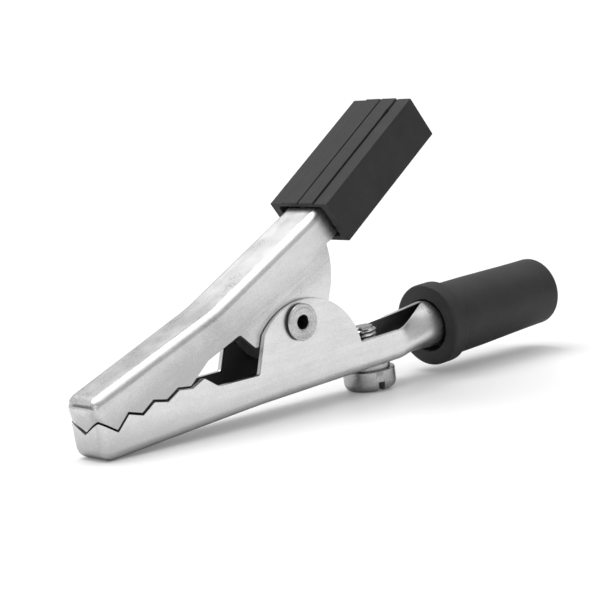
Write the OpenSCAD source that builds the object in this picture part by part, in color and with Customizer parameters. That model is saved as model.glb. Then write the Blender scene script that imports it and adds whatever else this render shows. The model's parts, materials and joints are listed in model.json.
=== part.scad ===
// Toothed spring clip: two pressed sheet jaws on a tubular rivet, with a thumb grip on the
// upper jaw, and a plug socket under a boot and a wire terminal screw on the lower jaw.
// Millimetres. The jaws point along -X, the socket along +X, and up is +Z.
// Each piece is laid out in the lower jaw's own frame, with X from the tip of the jaws and
// Z from the underside of the jaw's floor. at_rest() then stands the clip on the tip of the
// jaw and the head of the screw, with the origin under the middle of the whole clip.

/* [Jaws] */
// Tip of the jaws to the pivot
tip_to_pivot = 28.5; // [25:0.5:35]
// Height of the pivot above the underside of the lower jaw
pivot_h = 8; // [7.6:0.1:8.8]
// Thickness of the jaw sheet
sheet = 0.6; // [0.5:0.02:0.72]
// Outside width of both jaws at the tip
tip_w = 5.4; // [4.8:0.1:6.2]
// Outside width across the ears of the lower jaw
ear_w = 7.4; // [7:0.1:9]
// Side play between the upper jaw and the ears
ear_play = 0.1; // [0.06:0.01:0.15]
// Lean of the lower jaw's front face back towards the floor, in degrees
lower_lean = 3; // [1:0.5:12]
// Lean of the upper jaw's front face back towards the floor, in degrees
upper_lean = 14; // [6:0.5:18]
// Drop of the lower jaw's floor from the ears to the tip
floor_dip = 0.95; // [0.5:0.05:1.2]
// Outside radius of the lower jaw's bends
floor_bend_r = 1.1; // [0.8:0.05:1.2]
// Radius of the bend under the tip
tip_bend_r = 1.6; // [1:0.05:1.8]
// Radius of the jaws' front corners
corner_r = 0.95; // [0.7:0.05:1.1]

/* [Teeth] */
// Teeth along each side of the lower jaw, after the one at the corner
tooth_count = 4; // [3:1:4]
// Distance from tooth to tooth
tooth_pitch = 3.4; // [2.8:0.05:3.8]
// Tip of the jaws to the first valley
first_valley_x = 2.4; // [2:0.05:2.6]
// Height of the first valley
valley_h = 2.42; // [2:0.02:2.8]
// Height that each valley gains on the one before
valley_rise = 0.61; // [0.4:0.01:0.7]
// Extra depth of the first valley
first_valley_drop = 0.36; // [0:0.02:0.5]
// Height of the first tooth's point
point_h = 3.6; // [3.4:0.02:4]
// Height that each point gains on the one before
point_rise = 0.46; // [0.3:0.01:0.6]
// Height of the jaw's edge behind the teeth, at the ears
shelf_h = 3.5; // [3:0.05:3.8]
// Drop of the edge behind the last tooth, above the shelf's own height
heel_rise = 0.18; // [0:0.02:0.4]
// Height of the middle valley in the front face
front_valley_h = 1.95; // [1.9:0.05:2.6]
// Gap between the facing edges when the jaws are closed
bite_gap = 0.28; // [0.2:0.02:0.4]

/* [Ears and handle] */
// Pivot to the middle of the ears' round top, along the jaw
ear_dx = 0.76; // [0:0.02:1.2]
// Pivot down to the middle of the ears' round top
ear_drop = 5.85; // [5.4:0.05:6.2]
// Radius of the ears' round top
ear_r = 8.24; // [7.8:0.02:8.6]
// Pivot to the foot of the ears' front edge
ear_front = 6.84; // [6.4:0.02:7.2]
// Lean of the ears' front edge, in degrees
ear_lean = 17; // [10:1:22]
// Height of the handle's walls
handle_wall_h = 3.55; // [3.2:0.05:3.8]
// Washer's rear edge back to where the handle begins to close into the barrel
close_gap = 0.2; // [0.1:0.1:1]
// Length over which the handle closes into the barrel
handle_close = 5.9; // [4.9:0.1:8]
// Length over which the walls rise to the top of the barrel
barrel_rise_run = 5.9; // [4.5:0.1:6.5]

/* [Upper jaw] */
// Height of the spine's top at the tip
spine_tip_h = 5.95; // [5.6:0.05:6.4]
// Slope of the spine's front stretch, in degrees
spine_slope_a = 18.4; // [17:0.2:20]
// Slope of the spine's middle stretch, in degrees
spine_slope_b = 25.5; // [24:0.1:28]
// Slope of the handle in the grip, in degrees
spine_slope_c = 32.35; // [30:0.05:34]
// Pivot forward to the first bend of the spine
spine_bend_a = 10.9; // [9:0.1:12]
// Pivot back to the second bend of the spine
spine_bend_b = 4.9; // [4.4:0.1:6]
// Length of the handle behind the second bend
upper_handle_len = 16.4; // [14:0.2:17]
// Height of the handle's walls in the grip
upper_handle_h = 3.9; // [3.5:0.05:4.1]
// Outside radius of the bends beside the spine
spine_bend_r = 1; // [0.8:0.05:1.2]
// Radius of the bend at the spine's tip
spine_tip_r = 0.8; // [0.6:0.05:1]
// Radius of the upper jaw's cheeks round the pivot
cheek_r = 4.6; // [4:0.05:5]
// Pivot back to the cheeks' rearmost point
cheek_back = 6.28; // [5.8:0.02:6.6]
// Pivot up to the cheeks' rearmost point
cheek_rise = 5.6; // [5:0.1:6]
// Radius of the cheeks' rear edge
cheek_back_r = 9.5; // [8:0.1:11]
// Height of the notch's top above the floor
notch_h = 8.4; // [7.6:0.05:8.6]
// Height of the notch's front corner
notch_front_h = 6.65; // [6.2:0.05:7]
// Last tooth back to the notch's front corner
notch_start = 2.8; // [2.4:0.1:3.4]
// Foot of the ears forward to the notch's top
notch_top_dx = 1.45; // [1:0.05:2]
// Height of the cheeks' edge behind the notch
cheek_low_h = 6.45; // [6:0.05:6.8]
// Height of the seam under the spine's end
seam_h = 5.15; // [4.9:0.05:5.4]
// Width of the seam between the spine's end and the front tab
seam_w = 0.12; // [0.08:0.01:0.2]

/* [Rivet] */
// Radius of the rivet's shank
rivet_r = 1.5; // [1.3:0.05:1.75]
// Radius of the hole through the rivet
rivet_bore_r = 0.8; // [0.6:0.05:0.95]
// Radius of the rivet's head
rivet_head_r = 2.12; // [1.9:0.02:2.4]
// Thickness of the rivet's head
rivet_head_t = 0.85; // [0.6:0.05:1]
// Radius of the rolled end
rivet_roll_r = 2.05; // [1.9:0.05:2.3]
// Thickness of the rolled end
rivet_roll_t = 0.55; // [0.4:0.05:0.7]
// Play of the upper jaw on the rivet
pivot_play = 0.06; // [0.03:0.01:0.09]
// Play of the ears on the rivet
ear_hole_play = 0.02; // [0.01:0.01:0.03]

/* [Spring] */
// Radius of the spring's wire
wire_r = 0.42; // [0.35:0.01:0.45]
// Radius of the coil at the middle of the wire
coil_r = 2.35; // [2.25:0.05:2.6]
// Turns of the coil
coil_turns = 5; // [3:1:5]
// Overlap of neighbouring turns, which makes the coil one solid
turn_overlap = 0.04; // [0.02:0.01:0.06]
// Slope of the leg that presses on the upper handle, in degrees
leg_up_slope = 72; // [66:1:76]
// Slope of the leg that presses on the lower jaw's floor, in degrees
leg_down_slope = 30; // [28:1:40]
// Gap between a leg and the sheet it presses on
leg_gap = 0.02; // [0.01:0.01:0.05]

/* [Barrel and boot] */
// Radius of the plug socket in the barrel
socket_r = 2; // [1.9:0.05:2.2]
// Length of the plug socket
socket_len = 12; // [10:0.5:14]
// Height of the barrel's axis above the underside of the lower jaw
barrel_h = 2.05; // [1.9:0.05:2.4]
// Width of the seam along the top of the barrel
barrel_seam_w = 0.3; // [0.2:0.05:0.4]
// Barrel's front end back to the boot's front face
boot_inset = 1.6; // [1.5:0.1:2.6]
// Length of the boot
boot_len = 20.2; // [17:0.1:24.5]
// Radius of the boot's flange
flange_r = 5; // [4.8:0.05:5.5]
// Thickness of the boot's flange
flange_t = 2.3; // [1.8:0.1:2.8]
// Radius of the boot behind the flange
boot_r = 4.46; // [4.2:0.02:4.8]
// Radius of the boot at its rear end
boot_end_r = 4.2; // [4:0.02:4.4]
// Rounding of the boot's rear edge
boot_round = 1.6; // [1:0.1:1.8]
// Width and depth of the groove behind the flange
groove = 0.25; // [0.15:0.05:0.35]
// Radius of the wide mouth in the boot's front
boot_mouth_r = 3.5; // [3.3:0.05:3.8]
// Depth of the wide mouth
boot_mouth_depth = 2; // [1:0.1:2.6]
// Gap between the boot and the barrel
boot_gap = 0.02; // [0.01:0.01:0.04]

/* [Thumb grip] */
// Length of the grip
grip_len = 18; // [16:0.2:21.6]
// Width of the grip
grip_w = 9.6; // [9:0.1:11.5]
// Height of the grip
grip_h = 5.6; // [5.5:0.05:6.2]
// Second bend of the spine back to the mouth of the grip
grip_start = 0.8; // [0.5:0.05:1.5]
// Thickness of the grip's top over the metal handle
grip_top_t = 0.75; // [0.7:0.05:1]
// Gap above and below the metal handle in the mouth of the grip
mouth_gap = 0.32; // [0.2:0.02:0.4]
// Gap beside the metal handle in the mouth of the grip
mouth_side_gap = 0.7; // [0.3:0.05:0.8]
// Depth of the wide mouth
mouth_depth = 2.6; // [1.5:0.1:3.5]
// Play of the metal handle in the grip
grip_play = 0.02; // [0.01:0.01:0.03]
// Height of each step on the grip's top
step_h = 0.14; // [0.1:0.01:0.2]
// Middle of the grip's top to the grooves beside it
strip_w = 2.6; // [2.2:0.05:2.8]
// Width of the grooves in the grip's top
strip_groove_w = 0.22; // [0.15:0.01:0.3]
// Space behind the metal handle in the grip
grip_end_gap = 0.3; // [0.2:0.05:0.6]

/* [Terminal screw] */
// Radius of the screw's shank
screw_r = 1.5; // [1.25:0.05:1.8]
// Distance from thread to thread
screw_pitch = 0.5; // [0.45:0.05:0.6]
// Depth of the screw's thread
thread_depth = 0.2; // [0.12:0.02:0.24]
// Shank above the underside of the jaw
screw_len = 4.4; // [3.6:0.1:4.8]
// Radius of the screw's head
screw_head_r = 3.1; // [2.8:0.05:3.4]
// Thickness of the screw's head
screw_head_t = 2.45; // [1.8:0.05:2.6]
// Rounding of the head's lower edge
screw_head_round = 0.9; // [0.6:0.05:1.1]
// Width of the driver slot
slot_w = 0.8; // [0.6:0.05:1]
// Depth of the driver slot
slot_depth = 1.15; // [0.8:0.05:1.3]
// Turn of the driver slot from straight across the clip, in degrees
slot_turn = 17; // [0:1:45]
// Play of the shank in the jaw's hole
screw_play = 0.05; // [0.03:0.01:0.1]
// Pivot to the screw
pivot_to_screw = 12.8; // [12.4:0.1:14]
// Radius of the washer
washer_r = 2.6; // [2.3:0.05:3.1]
// Thickness of the washer
washer_t = 0.7; // [0.4:0.05:0.8]
// Play of the washer on the shank
washer_play = 0.1; // [0.05:0.01:0.2]

/* [Hidden] */
$fn = 96;
eps = 0.01;
cut_over = 0.4;
loft_lap = 0.2;
loft_inset = 0.1;
reach = 60;
bend_flats = 5;
corner_flats = 3;

pivot_x = tip_to_pivot;
tip_half = tip_w / 2;
ear_half = ear_w / 2;
upper_half = ear_half - sheet - ear_play;
screw_x = pivot_x + pivot_to_screw;

// ears
ear_x = pivot_x + ear_dx;
ear_z = pivot_h - ear_drop;
ear_front_x = pivot_x - ear_front;
handle_x = ear_x + sqrt(ear_r * ear_r - pow(handle_wall_h - ear_z, 2));
handle_close_x = screw_x + washer_r + close_gap;
barrel_x = handle_close_x + handle_close;
barrel_r = socket_r + sheet;
barrel_end_x = barrel_x + socket_len;
barrel_top_h = barrel_h + barrel_r;
taper = atan((ear_half - tip_half) / ear_front_x);

// boot
boot_x = barrel_x + boot_inset;
boot_end_x = boot_x + boot_len;

// teeth
first_point_x = first_valley_x + 0.48 * tooth_pitch;
heel_x = first_valley_x + tooth_count * tooth_pitch;
corner_point_h = point_h + point_rise / 6;
function valley(k) = [
    first_valley_x + k * tooth_pitch,
    valley_h + k * valley_rise - (k == 0 ? first_valley_drop : 0)
];
function point(k) = [first_point_x + k * tooth_pitch, point_h + k * point_rise];
tooth_line = [
    for (k = [0 : tooth_count - 1])
        each [valley(k), point(k)]
];

// spine, as points on its top surface
spine_a_x = pivot_x - spine_bend_a;
spine_b_x = pivot_x + spine_bend_b;
spine_a_z = spine_tip_h + spine_a_x * tan(spine_slope_a);
spine_b_z = spine_a_z + (spine_b_x - spine_a_x) * tan(spine_slope_b);
spine_end_x = spine_b_x + upper_handle_len * cos(spine_slope_c);
spine_end_z = spine_b_z + upper_handle_len * sin(spine_slope_c);
upper_taper = atan((upper_half - tip_half) / spine_a_x);
function along(slope) = [cos(slope), sin(slope)];
function below(slope) = [sin(slope), -cos(slope)];

// front faces: both lean back towards the floor from the point of the corner tooth
low_lean = tan(lower_lean);
up_lean = tan(upper_lean);
function upper_front_x(z) = (corner_point_h - z) * up_lean;
rise_a = tan(spine_slope_a);
top_z = (spine_tip_h + rise_a * corner_point_h * up_lean) / (1 + rise_a * up_lean);
top_x = upper_front_x(top_z);
dip_slope = floor_dip / ear_front_x;
dip_deg = atan(dip_slope);
chin_x = (corner_point_h + floor_dip) * low_lean / (1 + dip_slope * low_lean);
chin_z = chin_x * dip_slope - floor_dip;
chin_front_n = [-cos(lower_lean), 0, -sin(lower_lean)];
chin_floor_n = [sin(dip_deg), 0, -cos(dip_deg)];
chin_roll = [chin_x, 0, chin_z]
    - (chin_front_n + chin_floor_n) * tip_bend_r / (1 + chin_front_n * chin_floor_n);

// screw
head_top_z = -washer_t;
head_low_z = head_top_z - screw_head_t;

// rest: the common tangent under the tip's bend and the head's rounded rim
rim_x = screw_x - screw_head_r + screw_head_round;
rim_z = head_low_z + screw_head_round;
rest_dx = rim_x - chin_roll.x;
rest_dz = rim_z - chin_roll.z;
rest_span = sqrt(rest_dx * rest_dx + rest_dz * rest_dz);
rest_tilt = asin((screw_head_round - tip_bend_r) / rest_span) - atan2(rest_dz, rest_dx);
rest_low = chin_roll.x * sin(rest_tilt) + chin_roll.z * cos(rest_tilt) - tip_bend_r;
rest_front = upper_front_x(seam_h) * cos(rest_tilt) - seam_h * sin(rest_tilt);
boot_round_z = barrel_h - boot_end_r + boot_round;
rest_rear = (boot_end_x - boot_round) * cos(rest_tilt)
    - boot_round_z * sin(rest_tilt) + boot_round;
rest_mid = (rest_front + rest_rear) / 2;

steel = [0.78, 0.78, 0.79];
spring_steel = [0.5, 0.5, 0.52];
black = [0.1, 0.1, 0.11];

// Stands the clip on the ground.
module at_rest() {
    translate([-rest_mid, 0, -rest_low])
        rotate([0, -rest_tilt, 0])
            children();
}

// Extrudes an outline drawn in X and Z over the width of the clip.
module side_cut(width) {
    translate([0, width / 2, 0])
        rotate([90, 0, 0])
            linear_extrude(width)
                children();
}

// Plan of a jaw: straight taper from the tip to wide_x, then parallel to the rear.
module plan(half_tip, half_wide, wide_x, front, rear) {
    slope = (half_wide - half_tip) / wide_x;
    half_front = half_tip + front * slope;
    polygon([
        [front, -half_front],
        [wide_x, -half_wide],
        [rear, -half_wide],
        [rear, half_wide],
        [wide_x, half_wide],
        [front, half_front]
    ]);
}

// Stands a cutter along the edge through point p between two flat faces with outward
// normals a and b. Its outline is drawn from the axis of the rounding, with X along a.
module on_edge(p, a, b, r, back, ahead) {
    e = cross(a, b) / norm(cross(a, b));
    q = cross(e, a);
    c = p - (a + b) * r / (1 + a * b);
    multmatrix([
        [a.x, q.x, e.x, c.x],
        [a.y, q.y, e.y, c.y],
        [a.z, q.z, e.z, c.z],
        [0, 0, 0, 1]
    ])
        translate([0, 0, -back])
            linear_extrude(back + ahead)
                children();
}

// Rounds an edge.
module round_edge(p, a, b, r, back, ahead) {
    open = acos(a * b);
    far = r + cut_over;
    on_edge(p, a, b, r, back, ahead)
        difference() {
            polygon([
                [0, 0],
                [far, 0],
                [far, far * tan(open / 2)],
                far * [cos(open), sin(open)]
            ]);
            circle(r);
        }
}

// Blunts an edge with flats that follow a rounding.
module blunt_edge(p, a, b, r, back, ahead, flats) {
    open = acos(a * b);
    step = open / (flats + 1);
    last = flats * step;
    run = (r * (1 - cos(step)) + cut_over) / sin(step);
    far = (r + cut_over) / cos(open / 2);
    on_edge(p, a, b, r, back, ahead)
        polygon(concat(
            [r * [cos(step), sin(step)] + run * [sin(step), -cos(step)]],
            [for (k = [1.5 : flats - 0.5]) r / cos(step / 2) * [cos(k * step), sin(k * step)]],
            [r * [cos(last), sin(last)] - run * [sin(last), -cos(last)]],
            [far * [cos(open / 2), sin(open / 2)]]
        ));
}

// Shank, slot and pin holes stand across the clip at the pivot.
module pivot_rod(r, width) {
    translate([pivot_x, width / 2, pivot_h])
        rotate([90, 0, 0])
            cylinder(r = r, h = width);
}

// ---- lower jaw

module lower_outline() {
    polygon(concat(
        [[ear_front_x, 0], [chin_x, chin_z], [0, corner_point_h]],
        tooth_line,
        [
            [heel_x, shelf_h + heel_rise],
            [ear_front_x, shelf_h],
            [handle_x, handle_wall_h],
            [handle_close_x, handle_wall_h],
            [handle_close_x, 0]
        ]
    ));
    intersection() {
        translate([ear_x, ear_z])
            circle(ear_r);
        polygon([
            [ear_front_x, 0],
            [ear_front_x, shelf_h],
            [ear_front_x + (ear_r + ear_z - shelf_h) * tan(ear_lean), ear_r + ear_z],
            [handle_close_x, ear_r + ear_z],
            [handle_close_x, 0]
        ]);
    }
}

// Inside of the lower jaw, seen from the side.
module lower_hollow() {
    wall = sheet / cos(lower_lean);
    floor_z = sheet / cos(dip_deg) - floor_dip;
    inner_x = (corner_point_h * low_lean + wall - floor_z * low_lean) / (1 + dip_slope * low_lean);
    polygon([
        [inner_x, floor_z + inner_x * dip_slope],
        [wall + (corner_point_h - reach) * low_lean, reach],
        [handle_close_x + 1, reach],
        [handle_close_x + 1, sheet],
        [ear_front_x - sheet * tan(dip_deg / 2), sheet]
    ]);
}

// V in the lower jaw's front face, at a height above the floor.
module front_v(lift) {
    side_h = corner_point_h + lift;
    translate([-2, 0, 0])
        rotate([90, 0, 90])
            linear_extrude(2 + sheet + tip_bend_r / 2)
                polygon([
                    [0, front_valley_h + lift],
                    [tip_half, side_h],
                    [tip_half, reach],
                    [-tip_half, reach],
                    [-tip_half, side_h]
                ]);
}

// Loft from the channel to the barrel, inset from their outside and longer by a lap at each
// end, so that both ends of its wall are buried in theirs.
module handle_loft(inset, r, lap) {
    half = ear_half - inset;
    hull() {
        translate([handle_close_x - lap, 0, 0])
            rotate([90, 0, 90])
                linear_extrude(lap) {
                    for (s = [-1, 1])
                        translate([s * (half - r), inset + r])
                            circle(r, $fn = 32);
                    translate([-half, inset + r])
                        square([2 * half, barrel_top_h]);
                }
        translate([barrel_x, 0, barrel_h])
            rotate([0, 90, 0])
                cylinder(r = barrel_r - inset, h = lap, $fn = 64);
    }
}

// Everything that the handle's open top keeps, seen from the side.
module handle_keep() {
    rise_x = barrel_x - barrel_rise_run;
    polygon([
        [handle_close_x - 1, -2],
        [handle_close_x - 1, handle_wall_h],
        [rise_x, handle_wall_h],
        [rise_x + barrel_rise_run * 0.25, handle_wall_h + 0.3],
        [barrel_x, barrel_top_h + 0.2],
        [barrel_end_x + 1, barrel_top_h + 0.2],
        [barrel_end_x + 1, -2]
    ]);
}

module lower_shell() {
    side_n = [-sin(taper), cos(taper), 0];
    difference() {
        intersection() {
            side_cut(20)
                lower_outline();
            translate([0, 0, -2])
                linear_extrude(reach)
                    plan(tip_half, ear_half, ear_front_x, -2, handle_close_x);
        }
        intersection() {
            side_cut(20)
                lower_hollow();
            translate([0, 0, -3])
                linear_extrude(reach + 4)
                    plan(tip_half - sheet, ear_half - sheet, ear_front_x, -2, handle_close_x + 2);
        }
        front_v(0);
        round_edge([chin_x, 0, chin_z], chin_floor_n, chin_front_n, tip_bend_r, 8, 8);
        for (s = [-1, 1]) {
            foot = [ear_front_x, s * ear_half, 0];
            side = [side_n.x, s * side_n.y, 0];
            blunt_edge(foot, side, chin_floor_n, floor_bend_r,
                s > 0 ? 0 : ear_front_x + 2, s > 0 ? ear_front_x + 2 : 0, bend_flats);
            blunt_edge(foot, [0, s, 0], [0, 0, -1], floor_bend_r,
                s > 0 ? handle_close_x - ear_front_x + 1 : 0,
                s > 0 ? 0 : handle_close_x - ear_front_x + 1, bend_flats);
            blunt_edge([0, s * tip_half, corner_point_h], side, chin_front_n,
                corner_r, 9, 9, corner_flats);
        }
    }
}

module lower_jaw() {
    color(steel)
        at_rest()
            difference() {
                union() {
                    lower_shell();
                    intersection() {
                        difference() {
                            handle_loft(loft_inset, floor_bend_r - loft_inset, loft_lap);
                            handle_loft(sheet - loft_inset, 0.1, 2 * loft_lap);
                        }
                        side_cut(20)
                            handle_keep();
                    }
                    translate([barrel_x, 0, barrel_h])
                        rotate([0, 90, 0])
                            difference() {
                                cylinder(r = barrel_r, h = socket_len);
                                translate([0, 0, -1])
                                    cylinder(r = socket_r, h = socket_len + 2);
                            }
                }
                translate([barrel_x - barrel_rise_run, -barrel_seam_w / 2, barrel_h])
                    cube([socket_len + barrel_rise_run + 1, barrel_seam_w, barrel_r + 1]);
                pivot_rod(rivet_r + ear_hole_play, 20);
                translate([screw_x, 0, -2])
                    cylinder(r = screw_r + screw_play, h = 4);
            }
}

// ---- upper jaw

upper_edge = concat(
    [[0, corner_point_h + bite_gap]],
    [
        for (k = [0 : tooth_count - 1])
            each k < tooth_count - 1
                ? [valley(k) + [0, bite_gap], point(k) + [0, bite_gap]]
                : [valley(k) + [0, bite_gap]]
    ]
);
notch_top_x = ear_front_x - notch_top_dx;
cheek_x = pivot_x + cheek_back - cheek_back_r;
cheek_z = pivot_h + cheek_rise;
spine_a = [spine_a_x, spine_a_z];
spine_b = [spine_b_x, spine_b_z];
spine_end = [spine_end_x, spine_end_z];

module upper_outline() {
    cheek_end = cheek_x + sqrt(pow(cheek_back_r, 2) - pow(pivot_h + cheek_r - cheek_z, 2));
    wall_foot = spine_b + upper_handle_h * below(spine_slope_c);
    polygon(concat(
        upper_edge,
        [
            [valley(tooth_count - 1).x + notch_start, notch_front_h],
            [notch_top_x, notch_h],
            [notch_top_x + notch_h - cheek_low_h, cheek_low_h],
            [pivot_x, cheek_low_h],
            [pivot_x, cheek_z],
            wall_foot,
            spine_end + upper_handle_h * below(spine_slope_c),
            spine_end,
            spine_b,
            spine_a,
            [top_x, top_z]
        ]
    ));
    translate([pivot_x, pivot_h])
        circle(cheek_r);
    intersection() {
        translate([cheek_x, cheek_z])
            circle(cheek_back_r);
        polygon([
            [pivot_x, pivot_h - cheek_r],
            [pivot_x + cheek_r, pivot_h],
            [pivot_x + cheek_back, pivot_h + 1],
            wall_foot + 0.9 * along(spine_slope_c),
            spine_b,
            [pivot_x, cheek_z + 1]
        ]);
    }
}

// Inner corner of a bend in the spine, between two slopes.
function spine_inside(p, a, b) = p + below((a + b) / 2) * sheet / cos((b - a) / 2);

module upper_hollow() {
    wall = sheet / cos(upper_lean);
    roof = spine_tip_h - sheet / cos(spine_slope_a);
    roof_z = (roof + rise_a * (corner_point_h * up_lean + wall)) / (1 + rise_a * up_lean);
    polygon([
        [upper_front_x(-2) + wall, -2],
        [upper_front_x(roof_z) + wall, roof_z],
        spine_inside(spine_a, spine_slope_a, spine_slope_b),
        spine_inside(spine_b, spine_slope_b, spine_slope_c),
        spine_end + sheet * below(spine_slope_c) + along(spine_slope_c),
        [spine_end.x + 10, -2]
    ]);
}

// Front face with its one tooth, up to the spine.
module front_tab() {
    wall = sheet / cos(upper_lean);
    intersection() {
        side_cut(20)
            polygon([
                [upper_front_x(0), 0],
                [upper_front_x(0) + wall, 0],
                [upper_front_x(seam_h) + wall, seam_h],
                [upper_front_x(seam_h), seam_h]
            ]);
        linear_extrude(seam_h)
            plan(tip_half, upper_half, spine_a_x, -2, ear_front_x);
        front_v(bite_gap);
    }
}

// Bend beside one stretch of the spine, which ends at its rear at x1.
module spine_edge(side, x0, x1, z1, slope, taper_deg) {
    n = [-sin(taper_deg), side * cos(taper_deg), 0];
    run = (x1 - x0) / cos(slope);
    blunt_edge([x1, side * upper_half, z1], n, [-sin(slope), 0, cos(slope)], spine_bend_r,
        side > 0 ? run : 0, side > 0 ? 0 : run, bend_flats);
}

module upper_jaw() {
    front_n = [-cos(upper_lean), 0, -sin(upper_lean)];
    color(steel)
        at_rest()
            difference() {
                union() {
                    difference() {
                        intersection() {
                            side_cut(20)
                                upper_outline();
                            translate([0, 0, -1])
                                linear_extrude(reach)
                                    plan(tip_half, upper_half, spine_a_x, -2, reach);
                        }
                        intersection() {
                            side_cut(20)
                                upper_hollow();
                            translate([0, 0, -3])
                                linear_extrude(reach + 4)
                                    plan(tip_half - sheet, upper_half - sheet, spine_a_x, -3, reach + 1);
                        }
                    }
                    front_tab();
                }
                round_edge([top_x, 0, top_z], front_n, [-sin(spine_slope_a), 0, cos(spine_slope_a)],
                    spine_tip_r, 8, 8);
                for (s = [-1, 1]) {
                    spine_edge(s, top_x - 1, spine_a_x, spine_a_z, spine_slope_a, upper_taper);
                    spine_edge(s, spine_a_x, spine_b_x, spine_b_z, spine_slope_b, 0);
                    spine_edge(s, spine_b_x, spine_end_x + 1,
                        spine_end_z + tan(spine_slope_c), spine_slope_c, 0);
                    blunt_edge([0, s * tip_half, corner_point_h],
                        [-sin(upper_taper), s * cos(upper_taper), 0], front_n,
                        corner_r, 9, 9, corner_flats);
                }
                translate([-3, -5, seam_h])
                    cube([3 + upper_front_x(seam_h) + sheet / cos(upper_lean), 10, seam_w]);
                pivot_rod(rivet_r + pivot_play, 20);
            }
}

// ---- pivot rivet

module pivot_rivet() {
    head_round = rivet_head_t / 3;
    color(steel)
        at_rest()
            translate([pivot_x, -ear_half, pivot_h])
                rotate([-90, 0, 0])
                    rotate_extrude()
                        difference() {
                            union() {
                                translate([0, -rivet_head_t])
                                    square([rivet_head_r - head_round, rivet_head_t]);
                                translate([0, head_round - rivet_head_t])
                                    square([rivet_head_r, rivet_head_t - head_round]);
                                translate([rivet_head_r - head_round, head_round - rivet_head_t])
                                    circle(head_round);
                                square([rivet_r, ear_w]);
                                translate([0, ear_w])
                                    square([rivet_roll_r - rivet_roll_t / 2, rivet_roll_t]);
                                translate([rivet_roll_r - rivet_roll_t / 2, ear_w + rivet_roll_t / 2])
                                    circle(rivet_roll_t / 2);
                            }
                            translate([-1, -5])
                                square([1 + rivet_bore_r, ear_w + 10]);
                            polygon([
                                [0, -rivet_head_t - eps],
                                [rivet_bore_r * 1.5, -rivet_head_t - eps],
                                [rivet_bore_r, -rivet_head_t * 0.7],
                                [0, -rivet_head_t * 0.7]
                            ]);
                        }
}

// ---- torsion spring

// A straight leg that leaves the coil at a tangent, at a slope, on one end turn.
module spring_leg(slope, start, y, run) {
    translate([pivot_x + coil_r * start.x, y, pivot_h + coil_r * start.y])
        rotate([0, 90 - slope, 0])
            cylinder(r = wire_r * 0.97, h = run);
}

module torsion_spring() {
    step = 2 * wire_r - turn_overlap;
    end_y = step * (coil_turns - 1) / 2;
    // upper leg: until the wire meets the underside of the spine's middle stretch
    up = [sin(leg_up_slope), -cos(leg_up_slope)];
    roof_n = [-sin(spine_slope_b), cos(spine_slope_b)];
    up_from = [pivot_x + coil_r * up.x, pivot_h + coil_r * up.y];
    up_room = roof_n * (spine_b - up_from) - sheet - wire_r - leg_gap;
    up_run = up_room / (roof_n * along(leg_up_slope)) - wire_r;
    // lower leg: until the wire meets the floor of the lower jaw
    down = [-sin(leg_down_slope), -cos(leg_down_slope)];
    down_room = pivot_h + coil_r * down.y - sheet - wire_r - leg_gap;
    down_run = down_room / sin(leg_down_slope);
    color(spring_steel)
        at_rest() {
            for (k = [0 : coil_turns - 1])
                translate([pivot_x, k * step - end_y, pivot_h])
                    rotate([90, 0, 0])
                        rotate_extrude()
                            translate([coil_r, 0])
                                circle(wire_r, $fn = 32);
            spring_leg(leg_up_slope, up, end_y, up_run);
            spring_leg(-leg_down_slope, down, -end_y, down_run);
        }
}

// ---- thumb grip

// Grip's own frame: X back from the mouth, Z up from the grip's top.
module in_grip() {
    mouth = spine_b + grip_start * along(spine_slope_c) - grip_top_t * below(spine_slope_c);
    translate([mouth.x, 0, mouth.y])
        rotate([0, -spine_slope_c, 0])
            children();
}

// Room for the metal handle, grown by a gap beside it and a gap above and below it.
module handle_room(beside, over, depth) {
    translate([-1, -upper_half - beside, -grip_top_t - upper_handle_h - over])
        cube([depth + 1, 2 * (upper_half + beside), upper_handle_h + 2 * over]);
}

module thumb_grip() {
    handle_depth = upper_handle_len - grip_start;
    color(black)
        at_rest()
            in_grip()
                difference() {
                    union() {
                        translate([0, -grip_w / 2, -grip_h])
                            cube([grip_len, grip_w, grip_h]);
                        translate([0, -strip_w, -step_h])
                            cube([grip_len, 2 * strip_w, 2 * step_h]);
                    }
                    handle_room(grip_play, grip_play, handle_depth + grip_end_gap);
                    handle_room(mouth_side_gap, mouth_gap, mouth_depth);
                    for (y = [-strip_w, 0, strip_w])
                        translate([-1, y - strip_groove_w / 2, -step_h])
                            cube([grip_len + 2, strip_groove_w, 3 * step_h]);
                }
}

// ---- barrel boot

module barrel_boot() {
    slope_r = (boot_r - boot_end_r) / (boot_len - flange_t);
    grip_end = barrel_end_x - boot_x;
    color(black)
        at_rest()
            translate([boot_x, 0, barrel_h])
                rotate([0, 90, 0])
                    rotate_extrude()
                        difference() {
                            union() {
                                translate([0, groove])
                                    square([flange_r, flange_t - 2 * groove]);
                                square([flange_r - groove, flange_t]);
                                for (z = [groove, flange_t - groove])
                                    translate([flange_r - groove, z])
                                        circle(groove);
                                polygon([
                                    [0, flange_t / 2],
                                    [boot_r - groove, flange_t / 2],
                                    [boot_r - groove, flange_t + groove],
                                    [boot_r, flange_t + groove],
                                    [boot_end_r, boot_len - boot_round],
                                    [0, boot_len - boot_round]
                                ]);
                                translate([0, boot_len - boot_round - eps])
                                    square([boot_end_r - boot_round, boot_round + eps]);
                                translate([boot_end_r - boot_round, boot_len - boot_round])
                                    circle(boot_round);
                            }
                            translate([-1, -1])
                                square([1 + boot_mouth_r, 1 + boot_mouth_depth]);
                            translate([-1, 0])
                                square([1 + barrel_r + boot_gap, grip_end + 0.2]);
                            translate([-1, 1])
                                square([1 + socket_r + 0.3, boot_len + 2]);
                        }
}

// ---- terminal screw and washer

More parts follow.
